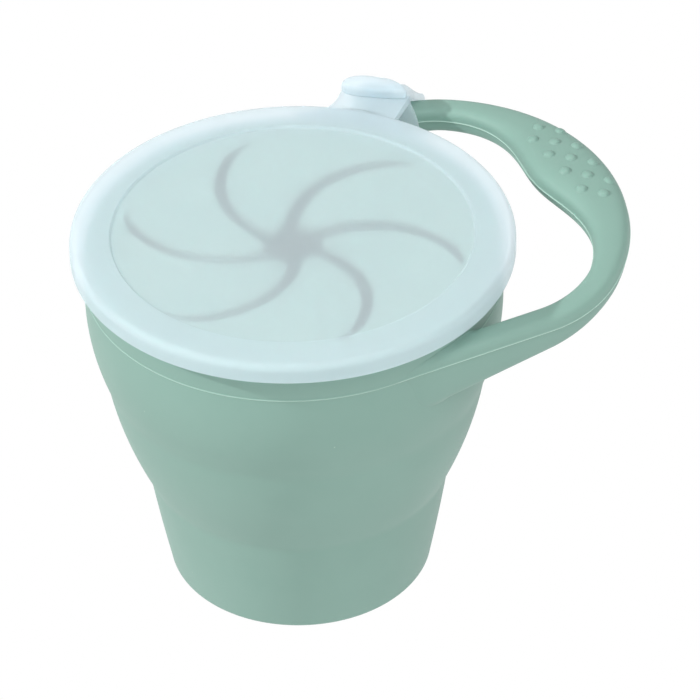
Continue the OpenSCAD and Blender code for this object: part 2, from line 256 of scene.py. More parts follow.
# Clear silicone with a little white pigment, from a matt tool: milky and softly
# glossy. What lies close behind shows through, blurred.
milkyLook = {
    "name": "milkySiliconeFrosted",
    "colour": "#ECF8FC", "cloudColour": "#E4F3F8",
    "roughness": (0.60, 0.72), "ior": 1.41, "specular": 0.32,
    "cloudSize": 16.0, "grainSize": 0.45, "grainDepth": 0.015,
    "transmission": 0.56,
    "cover": 0.59,  # share of the light that doesn't pass straight through
}
# Where the moulding is thick it is milkier and whiter.
milkyThickLook = dict(milkyLook, name="milkySiliconeThick", colour="#E9F5FB",
                      cloudColour="#E1F1F7", transmission=0.53, cover=0.64)


def milkyMaterial(look):
    material, tree, output = newMaterial(look["name"])
    place = addNode(tree, "ShaderNodeTexCoord").outputs["Object"]
    clouds = addNode(tree, "ShaderNodeTexNoise", {
        "Vector": place, "Scale": patternScale(look["cloudSize"]), "Detail": 3.0, "Roughness": 0.6})
    grain = addNode(tree, "ShaderNodeTexNoise", {
        "Vector": place, "Scale": patternScale(look["grainSize"]), "Detail": 2.0, "Roughness": 0.7})
    colour = addNode(tree, "ShaderNodeMix", {
        "Factor": clouds.outputs["Fac"], "A": colourOf(look["colour"]),
        "B": colourOf(look["cloudColour"])}, data_type="RGBA")
    roughness = addNode(tree, "ShaderNodeMapRange", {
        "Value": grain.outputs["Fac"],
        "To Min": look["roughness"][0], "To Max": look["roughness"][1]})
    bump = addNode(tree, "ShaderNodeBump", {
        "Height": grain.outputs["Fac"], "Strength": 0.2, "Distance": look["grainDepth"] * mm})
    shader = addNode(tree, "ShaderNodeBsdfPrincipled", {
        "Base Color": colour.outputs["Result"], "Roughness": roughness.outputs["Result"],
        "Normal": bump.outputs["Normal"], "IOR": look["ior"],
        "Specular IOR Level": look["specular"],
        "Transmission Weight": look["transmission"], "Alpha": look["cover"]})
    tree.links.new(shader.outputs[0], output.inputs["Surface"])
    return material


sageSilicone = siliconeMaterial(sageLook)
# Painted light: the insert's paler sage stands in for light that comes through the cover.
insertSiliconePaintedLight = siliconeMaterial(paintedLightInsertLook)
milkySilicone = milkyMaterial(milkyLook)
milkyThick = milkyMaterial(milkyThickLook)
print("materials made")

# Cup wall, in mm: radii at base, creases and rim, heights, and how far each band swells.
cup = {
    "baseRadius": 30.3, "lowerCreaseRadius": 34.9, "upperCreaseRadius": 43.4, "rimRadius": 47.0,
    "lowerCrease": 27.0, "upperCrease": 54.5, "parting": 79.3, "rim": 86.6, "rimRound": 0.5,
    "baseBulge": 0.16, "middleBulge": 1.11, "topBulge": 1.43, "creaseSoft": 0.4,
    "wall": 2.0, "foldWall": 1.4, "foldHeight": 12.0, "floor": 2.4, "baseCorner": 1.5,
    # The last flash number is how strongly the top band's ridge is painted paler, as a highlight.
    "flash": 0.17, "flashWidth": 0.13, "flashReach": 0.4, "flashRows": 9, "rimHighlightShare": 0.7,
    "segments": 256, "row": 0.6, "floorSteps": 15, "cornerSteps": 8, "rimSteps": 6,
}


def bandRadius(z, r0, z0, r1, z1, bulge):
    t = (z - z0) / (z1 - z0)
    return r0 + (r1 - r0) * t + 4 * bulge * t * (1 - t)


# Outer radius of the cup at a height: three swelling bands that meet in creases.
def cupRadius(z):
    z = np.asarray(z, float)
    base = (cup["baseRadius"], 0)
    lower = (cup["lowerCreaseRadius"], cup["lowerCrease"])
    upper = (cup["upperCreaseRadius"], cup["upperCrease"])
    low = bandRadius(z, *base, *lower, cup["baseBulge"])
    middle = bandRadius(z, *lower, *upper, cup["middleBulge"])
    top = bandRadius(z, *upper, cup["rimRadius"], cup["parting"], cup["topBulge"])
    half = (cup["lowerCrease"] + cup["upperCrease"]) / 2
    r = np.where(z >= half, softMax(middle, top, cup["creaseSoft"]),
                 softMax(low, middle, cup["creaseSoft"]))
    return np.where(z >= cup["parting"], cup["rimRadius"], r)


# Thin seam that the two halves of the mould leave: a bell curve round a height.
def flashShape(z):
    return np.exp(-((z - cup["parting"]) / cup["flashWidth"]) ** 2)


def heights(low, high):
    count = int(round((high - low) / cup["row"])) + 1
    return np.linspace(low, high, count)


def wallRing(name, low, high, thickness):
    z = heights(low, high)
    outer = np.stack([cupRadius(z), z], -1)
    inner = np.stack([cupRadius(z) - thickness, z], -1)[::-1]
    return gridObject(name, revolve(np.vstack([outer, inner]), cup["segments"]), sageSilicone,
                      closeRows=True, closeColumns=True)


foldLow = cup["lowerCrease"] - cup["foldHeight"] / 2
middleLow = cup["lowerCrease"] + cup["foldHeight"] / 2
foldHigh = cup["upperCrease"] - cup["foldHeight"] / 2
topLow = cup["upperCrease"] + cup["foldHeight"] / 2

# Base: rounded foot outside, rounded corner inside, both walls up to the fold.
cornerTurn = np.linspace(-np.pi / 2, 0, cup["cornerSteps"] + 1)[:-1, None]
corner = cup["baseCorner"] * np.hstack([np.cos(cornerTurn), np.sin(cornerTurn)])
z = heights(cup["baseCorner"], foldLow)
foot = np.array([cupRadius(z[0]) - cup["baseCorner"], z[0]]) + corner
innerZ = heights(cup["floor"] + cup["baseCorner"], foldLow)
innerCentre = np.array([cupRadius(innerZ[0]) - cup["wall"] - cup["baseCorner"], innerZ[0]])
innerFoot = (innerCentre + corner)[::-1]
flat = np.ones(cup["floorSteps"])
under = np.stack([np.linspace(0, foot[0, 0], cup["floorSteps"] + 1)[:-1], 0 * flat], -1)
floorTop = np.stack([np.linspace(innerFoot[-1, 0], 0, cup["floorSteps"] + 1)[1:],
                     cup["floor"] * flat], -1)
outerWall = np.stack([cupRadius(z), z], -1)
innerWall = np.stack([cupRadius(innerZ) - cup["wall"], innerZ], -1)[::-1]
profile = np.vstack([under, foot, outerWall, innerWall, innerFoot, floorTop])
cupBase = gridObject("cupBase", revolve(profile, cup["segments"]), sageSilicone, closeRows=True)
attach(cupBase, "base")
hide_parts("base_cup")

lowerFoldWall = wallRing("lowerFoldWall", foldLow, middleLow, cup["foldWall"])
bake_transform(lowerFoldWall)
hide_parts("lower_fold")

middleBandWall = wallRing("middleBandWall", middleLow, foldHigh, cup["wall"])
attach(middleBandWall, "middle")
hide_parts("middle_band")

upperFoldWall = wallRing("upperFoldWall", foldHigh, topLow, cup["foldWall"])
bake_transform(upperFoldWall)
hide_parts("upper_fold")

# Top band: fine rows at the parting line carry its ridge; the rim's edge is rounded.
rimRound = cup["rimRound"]
z = np.unique(np.concatenate([
    heights(topLow, cup["rim"] - rimRound),
    cup["parting"] + np.linspace(-cup["flashReach"], cup["flashReach"], cup["flashRows"])]))
rimTurn = np.linspace(0, np.pi / 2, cup["rimSteps"])
rimEdge = np.stack([cup["rimRadius"] - rimRound + rimRound * np.cos(rimTurn),
                    cup["rim"] - rimRound + rimRound * np.sin(rimTurn)], -1)
outer = np.vstack([np.stack([cupRadius(z) + cup["flash"] * flashShape(z), z], -1)[:-1], rimEdge])
innerZ = heights(topLow, cup["parting"])[::-1]
bore = cup["rimRadius"] - cup["wall"]
inner = np.vstack([[bore, cup["rim"]], np.stack([cupRadius(innerZ) - cup["wall"], innerZ], -1)])
profile = np.vstack([outer, inner])
# The outer points of the parting ridge are painted paler, as a highlight.
ridgeHighlightShare = cup["rimHighlightShare"] * flashShape(profile[:, 1]) * (profile[:, 0] > bore + 1)
topBandWall = gridObject("topBandWall", revolve(profile, cup["segments"]), sageSilicone,
                         closeRows=True, closeColumns=True,
                         flashLine=np.broadcast_to(ridgeHighlightShare, (cup["segments"], len(profile))))
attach(topBandWall, "top")
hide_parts("rim_band")
print("cup wall made")

# Carry handle, in mm: straight arms, shoulder arcs and a wide grip with nubs.
handle = {
    "bendStart": 40.0, "end": 79.1, "shoulder": 33.0, "armY": 46.9,
    "armWidth": 6.4, "armTop": 2.8, "armFoot": 3.7, "gripWidth": 16.5, "gripTop": 4.4,
    "gripTurn": 63.5, "rootSlope": 0.17, "rootX": 56.0, "riseSlope": 0.115, "riseX": 47.5,
    "slopeSoft": 0.8, "power": 3.0, "flash": 0.24, "flashHalf": 0.17, "flashFoot": 0.45,
    "around": 36, "armRows": 80, "bowRows": 280, "rootFillet": 1.0, "rootSink": 1.0,
}
shoulderY = handle["armY"] - handle["shoulder"]
bowLength = handle["end"] - handle["bendStart"]
gripBend = ((bowLength ** 2 + shoulderY ** 2 - handle["shoulder"] ** 2)
            / (2 * (bowLength - handle["shoulder"])))
gripX = handle["end"] - gripBend
shoulderTurn = math.degrees(math.atan2(shoulderY, handle["bendStart"] - gripX))


def gripShare(turn):  # 1 in the middle of the grip, 0 on the arms, a squared cosine between
    share = (0.5 + 0.5 * np.cos(np.pi * np.clip(turn / handle["gripTurn"], -1, 1))) ** 2
    return np.where(np.abs(turn) >= handle["gripTurn"], 0, share)


def handleWidth(turn):
    return handle["armWidth"] + (handle["gripWidth"] - handle["armWidth"]) * gripShare(turn)


def handleTop(turn):
    return handle["armTop"] + (handle["gripTop"] - handle["armTop"]) * gripShare(turn)


# The arms deepen towards the cup, and the bow rises away from it, both by straight
# slopes with a soft start.
def handleFoot(x):
    slope = handle["rootSlope"] * (handle["rootX"] - x)
    return handle["armFoot"] + softMax(0, slope, handle["slopeSoft"])


def handleHeight(x):
    slope = handle["riseSlope"] * (x - handle["riseX"])
    return cup["parting"] + softMax(0, slope, handle["slopeSoft"])


# Middle line: a straight arm, a shoulder arc, the grip's flatter arc and back.
# Returns x, y and the direction in which the handle's outer side faces, in degrees.
def handleLine():
    straight = np.linspace(0, handle["bendStart"], handle["armRows"], endpoint=False)
    turn = np.linspace(90, -90, handle["bowRows"])
    onGrip = np.abs(turn) < shoulderTurn
    radius = np.where(onGrip, gripBend, handle["shoulder"]) - handleWidth(turn) / 2
    x = np.where(onGrip, gripX, handle["bendStart"]) + radius * np.cos(np.radians(turn))
    y = np.where(onGrip, 0, np.sign(turn) * shoulderY) + radius * np.sin(np.radians(turn))
    arm = np.ones(len(straight))
    armY = (handle["armY"] - handle["armWidth"] / 2) * arm
    return (np.concatenate([straight, x, straight[::-1]]), np.concatenate([armY, y, -armY]),
            np.concatenate([90 * arm, turn, -90 * arm]))


def signedPower(v, power):
    return np.sign(v) * np.abs(v) ** (2 / power)


lineX, lineY, facing = handleLine()
power = handle["power"]


# The section is a rounded box (a superellipse) whose halves above and below the
# parting line differ. Along both sides, where the mould parts, runs a fine sharp
# ridge, for which rows of points lie close above and below the parting line.
def halfSection(depth):
    beside = np.array([handle["flashHalf"], handle["flashFoot"]])
    close = np.arcsin((beside / depth[:, None]) ** (power / 2))
    share = np.linspace(0, 1, handle["around"])[None, 1:-1]
    between = close[:, 1:] + (np.pi - 2 * close[:, 1:]) * share
    return np.concatenate([np.zeros((len(depth), 1)), close, between, np.pi - close[:, ::-1]], 1)


topDepth, footDepth = handleTop(facing), handleFoot(lineX)
steps = np.concatenate([halfSection(topDepth), np.pi + halfSection(footDepth)], 1)
depth = np.where(steps <= np.pi, topDepth[:, None], footDepth[:, None])
across = handleWidth(facing)[:, None] / 2 * signedPower(np.cos(steps), power)
up = depth * signedPower(np.sin(steps), power)
half = steps.shape[1] // 2
across[:, 0] += handle["flash"]
across[:, half] -= handle["flash"]
direction = np.radians(facing)[:, None]
middle = np.stack([lineX, lineY, handleHeight(lineX)], -1)[:, None]
grid = middle + np.stack([across * np.cos(direction), across * np.sin(direction), up], -1)

# Where the arms reach the cup they swell into it with a fillet, and what would
# stand inside the wall is drawn back to the middle of its thickness.
wrapped = np.concatenate([grid[:, -1:], grid, grid[:, :1]], 1)
normal = np.cross(np.gradient(grid, axis=0), np.gradient(wrapped, axis=1)[:, 1:-1])
normal /= np.maximum(np.linalg.norm(normal, axis=-1, keepdims=True), 1e-9)
normal *= np.sign((normal * (grid - middle)).sum(-1, keepdims=True))
radius = np.linalg.norm(grid[..., :2], axis=-1)
gap = radius - cupRadius(grid[..., 2])
wallNormal = np.concatenate([grid[..., :2] / np.maximum(radius, 1e-6)[..., None],
                             np.zeros_like(grid[..., :1])], -1)
aslant = 1 - np.clip((normal * wallNormal).sum(-1), 0, 1) ** 2
fillet = handle["rootFillet"]
swell = 0.5 * fillet * np.clip(1 - gap / fillet, 0, 1) ** 2 * aslant * (gap < fillet)
grid = grid + normal * swell[..., None]
radius = np.linalg.norm(grid[..., :2], axis=-1)
inside = cupRadius(grid[..., 2]) - handle["rootSink"]
pull = np.maximum(radius, inside) / np.maximum(radius, 1e-6)
grid[..., :2] *= np.where(radius < inside, pull, 1)[..., None]
grid = capped(grid)
# Both ridge rows of the handle are painted paler, as a highlight.
ridgeHighlightShare = np.zeros(grid.shape[:2])
ridgeHighlightShare[:, [0, half]] = 1
carryHandle = gridObject("carryHandle", grid, sageSilicone, closeColumns=True, smoothAngle=60,
                         flashLine=ridgeHighlightShare)
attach(carryHandle, "top")
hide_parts("handle")

# Nubs on the grip, in mm: domes in three rows.
nub = {
    "radius": 1.18, "height": 0.7, "foot": 0.45, "sink": 0.25, "footHeight": 0.16,
    "domeReach": 1.08, "rootDepth": 1.2, "x": 71.7, "pitch": 7.5, "row": 3.7,
    "counts": (4, 5, 4), "rings": 12, "around": 28,
}


# Height of the grip's upper surface at a point.
def gripSurface(x, y):
    turn = np.degrees(np.arctan2(y, x - gripX))
    half = handleWidth(turn) / 2
    share = np.minimum(np.abs(np.hypot(x - gripX, y) - gripBend + half) / half, 1)
    middleX = gripX + (gripBend - half) * np.cos(np.radians(turn))
    rise = (1 - share ** handle["power"]) ** (1 / handle["power"])
    return handleHeight(middleX) + handleTop(turn) * rise


# One nub is a dome that runs out into the grip over a hollow foot; its last ring dips
# below the surface.
def nubProfile():
    t = np.linspace(0, 1, nub["rings"])
    reach = nub["radius"] + nub["foot"]
    r = reach * t
    dome = nub["height"] * np.sqrt(np.clip(1 - (r / (nub["radius"] * nub["domeReach"])) ** 2, 0, 1))
    foot = nub["footHeight"] * np.clip((reach - r) / (2 * nub["foot"]), 0, 1) ** 2
    return r, np.maximum(dome, foot) - nub["sink"] * np.clip((t - 0.9) / 0.1, 0, 1)


nubR, nubZ = nubProfile()
turn = np.linspace(0, 2 * np.pi, nub["around"], endpoint=False)
nubGrids, nubQuads = [], []
for row, count in zip((-1, 0, 1), nub["counts"]):
    for i in range(count):
        centreX = nub["x"] + row * nub["row"]
        centreY = nub["pitch"] * (i - (count - 1) / 2)
        x = centreX + nubR[:, None] * np.cos(turn)[None]
        y = centreY + nubR[:, None] * np.sin(turn)[None]
        top = np.stack([x, y, gripSurface(x, y) + nubZ[:, None]], -1)
        low = np.array([[[centreX, centreY, gripSurface(centreX, centreY) - nub["rootDepth"]]]])
        dome = np.concatenate([top, low.repeat(nub["around"], 1)])
        nubQuads.append(gridFaces(*dome.shape[:2], False, True) + sum(len(g) for g in nubGrids))
        nubGrids.append(dome.reshape(-1, 3))
gripNubs = meshObject("gripNubs", np.vstack(nubGrids), np.vstack(nubQuads), sageSilicone,
                      smoothAngle=80)
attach(gripNubs, "top")
print("carry handle made")

# Flap insert, in mm: ring with a collar, and petals between curved slits.
insert = {
    "flange": 46.6, "flangeTop": 88.4, "collar": 44.9, "collarThick": 1.9, "collarDepth": 6.0,
    "webCorner": 0.8, "collarCorner": 0.7, "flangeFoot": 0.3, "flangeCorner": 0.7, "segments": 384,
    "flapThick": 1.6, "slitEnd": 39.5, "slitBow": 10.6, "slitPhase": 18.7,
    "slitEndWidth": 2.3, "slitHubWidth": 3.3, "hub": 6.8, "hingeGap": 0.02, "petals": 6,
    "across": 36, "along": 44, "bend": 7.0, "edge": 0.5, "droop": 2.0, "hingePasses": 12,
}
hingeDistance = insert["slitEnd"] * math.cos(math.pi / insert["petals"])
slitCircle = (insert["slitEnd"] ** 2 / 4 + insert["slitBow"] ** 2) / (2 * insert["slitBow"])
# turn of a slit at the middle away from its chord, in degrees
slitLean = math.degrees(math.asin(insert["slitEnd"] / 2 / slitCircle))

# Ring: flange on the rim, collar down the bore, web inwards.
collarInner = insert["collar"] - insert["collarThick"]
collarFoot = cup["rim"] - insert["collarDepth"]
ringProfile = roundedProfile([
    (hingeDistance, insert["flangeTop"] - insert["flapThick"]),
    (collarInner, insert["flangeTop"] - insert["flapThick"], insert["webCorner"]),
    (collarInner, collarFoot, insert["collarCorner"]),
    (insert["collar"], collarFoot, insert["collarCorner"]),
    (insert["collar"], cup["rim"]),
    (insert["flange"], cup["rim"], insert["flangeFoot"]),
    (insert["flange"], insert["flangeTop"], insert["flangeCorner"]),
    (hingeDistance, insert["flangeTop"]),
], step=0.8)
ringGrid = revolve(ringProfile, insert["segments"])
# The web's inner edge is a hexagon, so each column's innermost points are moved to it.
angle = np.arctan2(ringGrid[..., 1], ringGrid[..., 0])
sector = 2 * np.pi / insert["petals"]
fromMiddle = (angle - math.radians(insert["slitPhase"])) % sector - sector / 2
hexagon = hingeDistance / np.cos(fromMiddle)
radius = np.linalg.norm(ringGrid[..., :2], axis=-1)
webEdge = collarInner - insert["webCorner"]
stretched = hexagon + (radius - hingeDistance) * (webEdge - hexagon) / (webEdge - hingeDistance)
ringGrid[..., :2] *= (np.where(radius < webEdge, stretched, radius) / radius)[..., None]
insertRing = gridObject("insertRing", ringGrid, insertSiliconePaintedLight, closeRows=True, closeColumns=True)
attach(insertRing, "top")
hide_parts("flap_ring")


# A slit runs on a circle through the middle, so its direction at a distance rho is
# its start direction plus the arc sine of rho over the circle's diameter.
def slitDirection(k, rho):
    start = insert["slitPhase"] + 360 / insert["petals"] * k + slitLean
    return np.radians(start) - np.arcsin(np.clip(rho / (2 * slitCircle), -1, 1))


# Half the slit's width as a turn at a distance: the slit runs aslant to the radius, so
# its width is divided by the cosine of that slant.
def slitHalfTurn(rho):
    taper = (insert["slitEndWidth"] - insert["slitHubWidth"]) * rho / insert["slitEnd"]
    slant = np.sqrt(1 - np.clip(rho / (2 * slitCircle), 0, 0.9) ** 2)
    return np.arcsin(np.clip((insert["slitHubWidth"] + taper) / 2 / slant / rho, 0, 0.99))


# At each distance from the middle a petal's points run along the top from slit to slit,
# round one edge, back underneath and round the other edge. A column is a share of the
# width, an inset in mm from there and a depth below the top.
arc = np.linspace(0, np.pi / 2, 5)
edge, thick = insert["edge"], insert["flapThick"]
share = np.linspace(0, 1, insert["across"])
columns = np.concatenate([
    np.stack([share, edge * (1 - 2 * share), 0 * share]),
    np.stack([1 + 0 * arc, edge * (np.sin(arc) - 1), edge * (1 - np.cos(arc))])[:, 1:],
    np.stack([1 + 0 * arc, edge * (np.cos(arc) - 1), thick - edge + edge * np.sin(arc)]),
    np.stack([share[::-1], edge * (1 - 2 * share[::-1]), thick + 0 * share])[:, 1:],
    np.stack([0 * arc, edge * (1 - np.sin(arc)), thick - edge + edge * np.cos(arc)])[:, 1:],
    np.stack([0 * arc, edge * (1 - np.cos(arc)), edge * (1 - np.sin(arc))])[:, :-1]], 1)


# Petal k lies between slit k and slit k + 1, from the hub's hole to its hinge line,
# which is straight, so that its distance is found in a few passes.
def petalGrid(k, middle):
    part, inset, below = columns[:, None]

    def direction(rho):
        low = slitDirection(k, rho) + slitHalfTurn(rho)
        high = slitDirection(k + 1, rho) - slitHalfTurn(rho)
        return low + (high - low) * part + inset / rho

    outer = np.full(part.shape, hingeDistance)
    for _ in range(insert["hingePasses"]):
        outer = (hingeDistance - insert["hingeGap"]) / np.cos(direction(outer) - middle)
    rho = insert["hub"] + (outer - insert["hub"]) * np.linspace(0, 1, insert["along"])[:, None]
    phi = direction(rho)
    # the tips hang a little under their own weight, as the square of the way from the hinge
    fromHinge = np.clip(1 - rho * np.cos(phi - middle) / hingeDistance, 0, 1)
    z = insert["flangeTop"] - insert["droop"] * fromHinge ** 2 - below
    return capped(np.stack([rho * np.cos(phi), rho * np.sin(phi), z], -1))


for k in range(insert["petals"]):
    middle = math.radians(insert["slitPhase"] + 360 / insert["petals"] * (k + 0.5))
    petal = gridObject("petal%d" % (k + 1), petalGrid(k, middle), insertSiliconePaintedLight,
                       closeColumns=True, smoothAngle=60)
    towards = Vector((math.cos(middle), math.sin(middle), 0))
    hinge = towards * hingeDistance * mm
    hinge.z = (insert["flangeTop"] - insert["flapThick"]) * mm
    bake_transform(petal)
    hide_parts("flap_%d" % (k + 1))
print("flap insert made")

# Cover, in mm: a sunk disc in a raised border, with a skirt and a lip under the rim.
cover = {
    "radius": 50.0, "bottom": 88.7, "disc": 1.6, "drop": 0.7, "discRadius": 40.8, "skirtGap": 1.0,
    "skirtFoot": 86.2, "lipGap": 0.4, "lipHeight": 0.8, "lipSlope": 0.3, "shoulder": 1.7,
    "stepSlope": 0.15, "stepTop": 0.35, "stepFoot": 0.45, "innerCorner": 0.7,
    "lipCorners": (0.3, 0.25, 0.2), "footCorner": 0.6, "segments": 256,
}
discTop = cover["bottom"] + cover["disc"]
coverTop = discTop + cover["drop"]
lipTop = cover["skirtFoot"] + cover["lipHeight"]
skirtInner = cup["rimRadius"] + cover["skirtGap"]
lipInner = cup["rimRadius"] + cover["lipGap"]
profile = roundedProfile([
    (0, cover["bottom"]),
    (skirtInner, cover["bottom"], cover["innerCorner"]),
    (skirtInner, lipTop + cover["lipSlope"], cover["lipCorners"][0]),
    (lipInner, lipTop, cover["lipCorners"][1]),
    (lipInner, cover["skirtFoot"], cover["lipCorners"][2]),
    (cover["radius"], cover["skirtFoot"], cover["footCorner"]),
    (cover["radius"], coverTop, cover["shoulder"]),
    (cover["discRadius"] + cover["stepSlope"], coverTop, cover["stepTop"]),
    (cover["discRadius"] - cover["stepSlope"], discTop, cover["stepFoot"]),
    (0, discTop),
], step=1.0, closed=False)
coverDisc = gridObject("coverDisc", revolve(profile, cover["segments"]), milkySilicone,
                       closeRows=True)
coverDisc.data.materials.append(milkyThick)
centres = np.empty(3 * len(coverDisc.data.polygons))
coverDisc.data.polygons.foreach_get("center", centres)
onBorder = np.hypot(centres[0::3], centres[1::3]) > (cover["discRadius"] - 0.1) * mm
coverDisc.data.polygons.foreach_set("material_index", onBorder.astype(np.int32))
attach(coverDisc, "lid")
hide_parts("cover")

# Strap round the handle's arm, in mm, and in degrees about the shoulder's axis.
strap = {
    "thick": 1.2, "gap": 0.45, "sag": 1.1, "rows": 31, "around": 120, "edgeRound": 0.35,
    "innerCorner": 0.8, "outerCorner": 5.5, "footCorners": (1.6, 1.0), "topDrop": 0.05,
    "edge": 60.5, "notch": 9.5, "notchReach": 5.5, "tail": 1.9,
    "dip": 3.4, "dipFrom": 69.5, "dipTurn": 8.0, "dipReach": 5.0,
}
# Tongue between cover and strap, in mm; its flare widens it on the grip's side.
tongue = {
    "direction": 44.7, "width": 15.0, "thick": 1.9, "low": 86.3, "start": 47.5, "end": 62.0,
    "backFillet": 8.5, "gripFillet": 2.5, "flare": (0.3, 0.7), "points": 40, "edgeRound": 0.5,
    "riseFrom": 54.0, "riseTo": 49.0, "riseBelow": 0.3, "hingeHeight": 88.0,
    "bendFrom": 58.0, "bendTo": 50.5,
}
strapIn = handle["shoulder"] - handle["armWidth"] - strap["gap"] - strap["thick"]
strapOut = handle["shoulder"] + strap["gap"] + strap["thick"]
strapTop = tongue["low"] + tongue["thick"]
strapFoot = (cup["parting"] - handle["armFoot"]
             - handle["rootSlope"] * (handle["rootX"] - handle["bendStart"])
             - strap["sag"] - strap["thick"])
tongueTurn = math.radians(tongue["direction"])
along = np.array([math.cos(tongueTurn), math.sin(tongueTurn)])
sideways = np.array([-along[1], along[0]])


# Outline of the band's section at a depth under its skin: a box whose upper outer
# corner is a large arc. Corners are (distance from the shoulder's axis, height, radius).
def strapLoop(depth, footCorner):
    low, high = strapIn + depth, strapOut - depth
    foot = strapFoot + depth
    top = (tongue["low"] if depth else strapTop) - strap["topDrop"]
    loop = roundedProfile([(low, foot, footCorner), (low, top, strap["innerCorner"]),
                           (high, top, strap["outerCorner"]), (high, foot, footCorner)],
                          step=0.8, arcSteps=10)
    closed = np.vstack([loop, loop[:1]])
    walk = np.concatenate([[0], np.cumsum(np.linalg.norm(np.diff(closed, axis=0), axis=1))])
    share = np.linspace(0, walk[-1], strap["around"] + 1)[:-1]
    return np.stack([np.interp(share, walk, closed[:, i]) for i in (0, 1)], -1)


# A loop is swept about the shoulder. Its edge towards the grip draws back at the upper
# inner corner and reaches on at the outer side, and its top sinks onto the arm there.
def sweepLoop(loop):
    r, z = loop[:, 0][None], loop[:, 1][None]
    cornerDistance = np.hypot(r - strapIn, z - strapTop)
    outerShare = np.clip(2 * (r - strapIn) / (strapOut - strapIn) - 1, 0, 1)
    start = (strap["edge"] + strap["notch"] * np.exp(-cornerDistance / strap["notchReach"])
             - strap["tail"] * np.sqrt(outerShare))
    turn = start + (90 - start) * np.linspace(0, 1, strap["rows"])[:, None]
    upper = (np.clip((z - cup["parting"]) / (strapTop - cup["parting"]), 0, 1)
             * np.clip((r - strapIn) / strap["dipReach"], 0, 1))
    z = z - strap["dip"] * upper * smoothStep((strap["dipFrom"] - turn) / strap["dipTurn"])
    turn = np.radians(turn)
    return np.stack([handle["bendStart"] + r * np.cos(turn), shoulderY + r * np.sin(turn), z], -1)


def softEdge(piece, width):
    bevel = piece.modifiers.new("soft edge", "BEVEL")
    bevel.width, bevel.segments = width * mm, 3
    bevel.limit_method, bevel.angle_limit = "ANGLE", math.radians(50)


outerSweep = sweepLoop(strapLoop(0, strap["footCorners"][0]))
innerSweep = sweepLoop(strapLoop(strap["thick"], strap["footCorners"][1]))
armStrap = gridObject("armStrap", np.concatenate([outerSweep, innerSweep[::-1]]), milkyThick,
                      closeRows=True, closeColumns=True)
softEdge(armStrap, strap["edgeRound"])
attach(armStrap, "top")
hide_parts("strap")


# Half the tongue's width at a distance from the cup's axis: a circular fillet joins it
# to the cover's edge.
def tongueHalfWidth(distance, fillet):
    halfWidth = tongue["width"] / 2
    centre = math.sqrt((cover["radius"] + fillet) ** 2 - (halfWidth + fillet) ** 2)
    inside = np.clip(centre - distance, 0, fillet * 0.985)
    return halfWidth + fillet - np.sqrt(fillet ** 2 - inside ** 2)


# Tongue: a sheet from just inside the cover's edge to the strap; it runs on over the
# arm. Towards its root its middle climbs to the top of the cover's border.
s = np.linspace(0, 1, tongue["points"])[:, None]
v = np.linspace(-1, 1, tongue["points"])[None]
distance = tongue["start"] + (tongue["end"] - tongue["start"]) * s
half = np.where(v > 0, tongueHalfWidth(distance, tongue["backFillet"]),
                tongueHalfWidth(distance, tongue["gripFillet"]))
offset = v * (half + np.where(v < 0, tongue["flare"][0] + tongue["flare"][1] * s ** 2, 0))
climb = smoothStep((tongue["riseFrom"] - distance) / (tongue["riseFrom"] - tongue["riseTo"]))
z = strapTop + (coverTop - tongue["riseBelow"] - strapTop) * climb * (1 - v ** 2) ** 2
tongueGrid = np.stack([distance * along[0] + offset * sideways[0],
                       distance * along[1] + offset * sideways[1], z], -1)
coverTongue = gridObject("coverTongue", tongueGrid, milkyThick)
if coverTongue.data.polygons[0].normal.z < 0:
    coverTongue.data.flip_normals()
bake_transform(coverTongue)
solid = coverTongue.modifiers.new("thickness", "SOLIDIFY")
solid.thickness, solid.offset, solid.use_even_offset = tongue["thick"] * mm, -1, True
softEdge(coverTongue, tongue["edgeRound"])
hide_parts("tongue")

# Button, in mm: a thick oval head with an arched rear edge and rounded rims, on a neck.
button = {
    "length": 17.5, "width": 6.4, "turn": 9.0, "shift": 0.9, "squareness": 3.2,
    "arch": 10.5, "archShift": 2.0, "archSoft": 2.0, "topEdge": 1.1, "footEdge": 0.5,
    "crown": 0.35, "gap": 0.12, "rise": 0.15, "around": 96, "edgeSteps": 9, "crownSteps": 10,
    "neckHeight": 1.3, "neckLength": 6.0, "neckWidth": 2.4, "neckFlare": 0.35, "neckSink": 0.3,
    "neckSteps": 7,
}
# its middle is where the tongue's direction meets the middle of the strap
strapMid = (strapIn + strapOut) / 2
shoulderCentre = np.array([handle["bendStart"], shoulderY])
buttonR = shoulderCentre @ along + math.sqrt(strapMid ** 2 - (shoulderCentre @ sideways) ** 2)
centre = along * buttonR - sideways * button["shift"]


# Distance from the head's middle to its outline at an angle: the nearer of a long
# rounded box and a circle, off to one side, that makes the arched rear edge.
def headOutline(angle):
    halfL, halfW, n = button["length"] / 2, button["width"] / 2, button["squareness"]
    out, aside = np.cos(angle), np.sin(angle)
    oval = 1 / ((np.abs(out) / halfW) ** n + (np.abs(aside) / halfL) ** n) ** (1 / n)
    back = button["arch"] - halfW
    shift = button["archShift"]
    chord = button["arch"] ** 2 - (back * aside + shift * out) ** 2
    arch = shift * aside - back * out + np.sqrt(np.maximum(chord, 0))
    return -softMax(-oval, -arch, button["archSoft"])


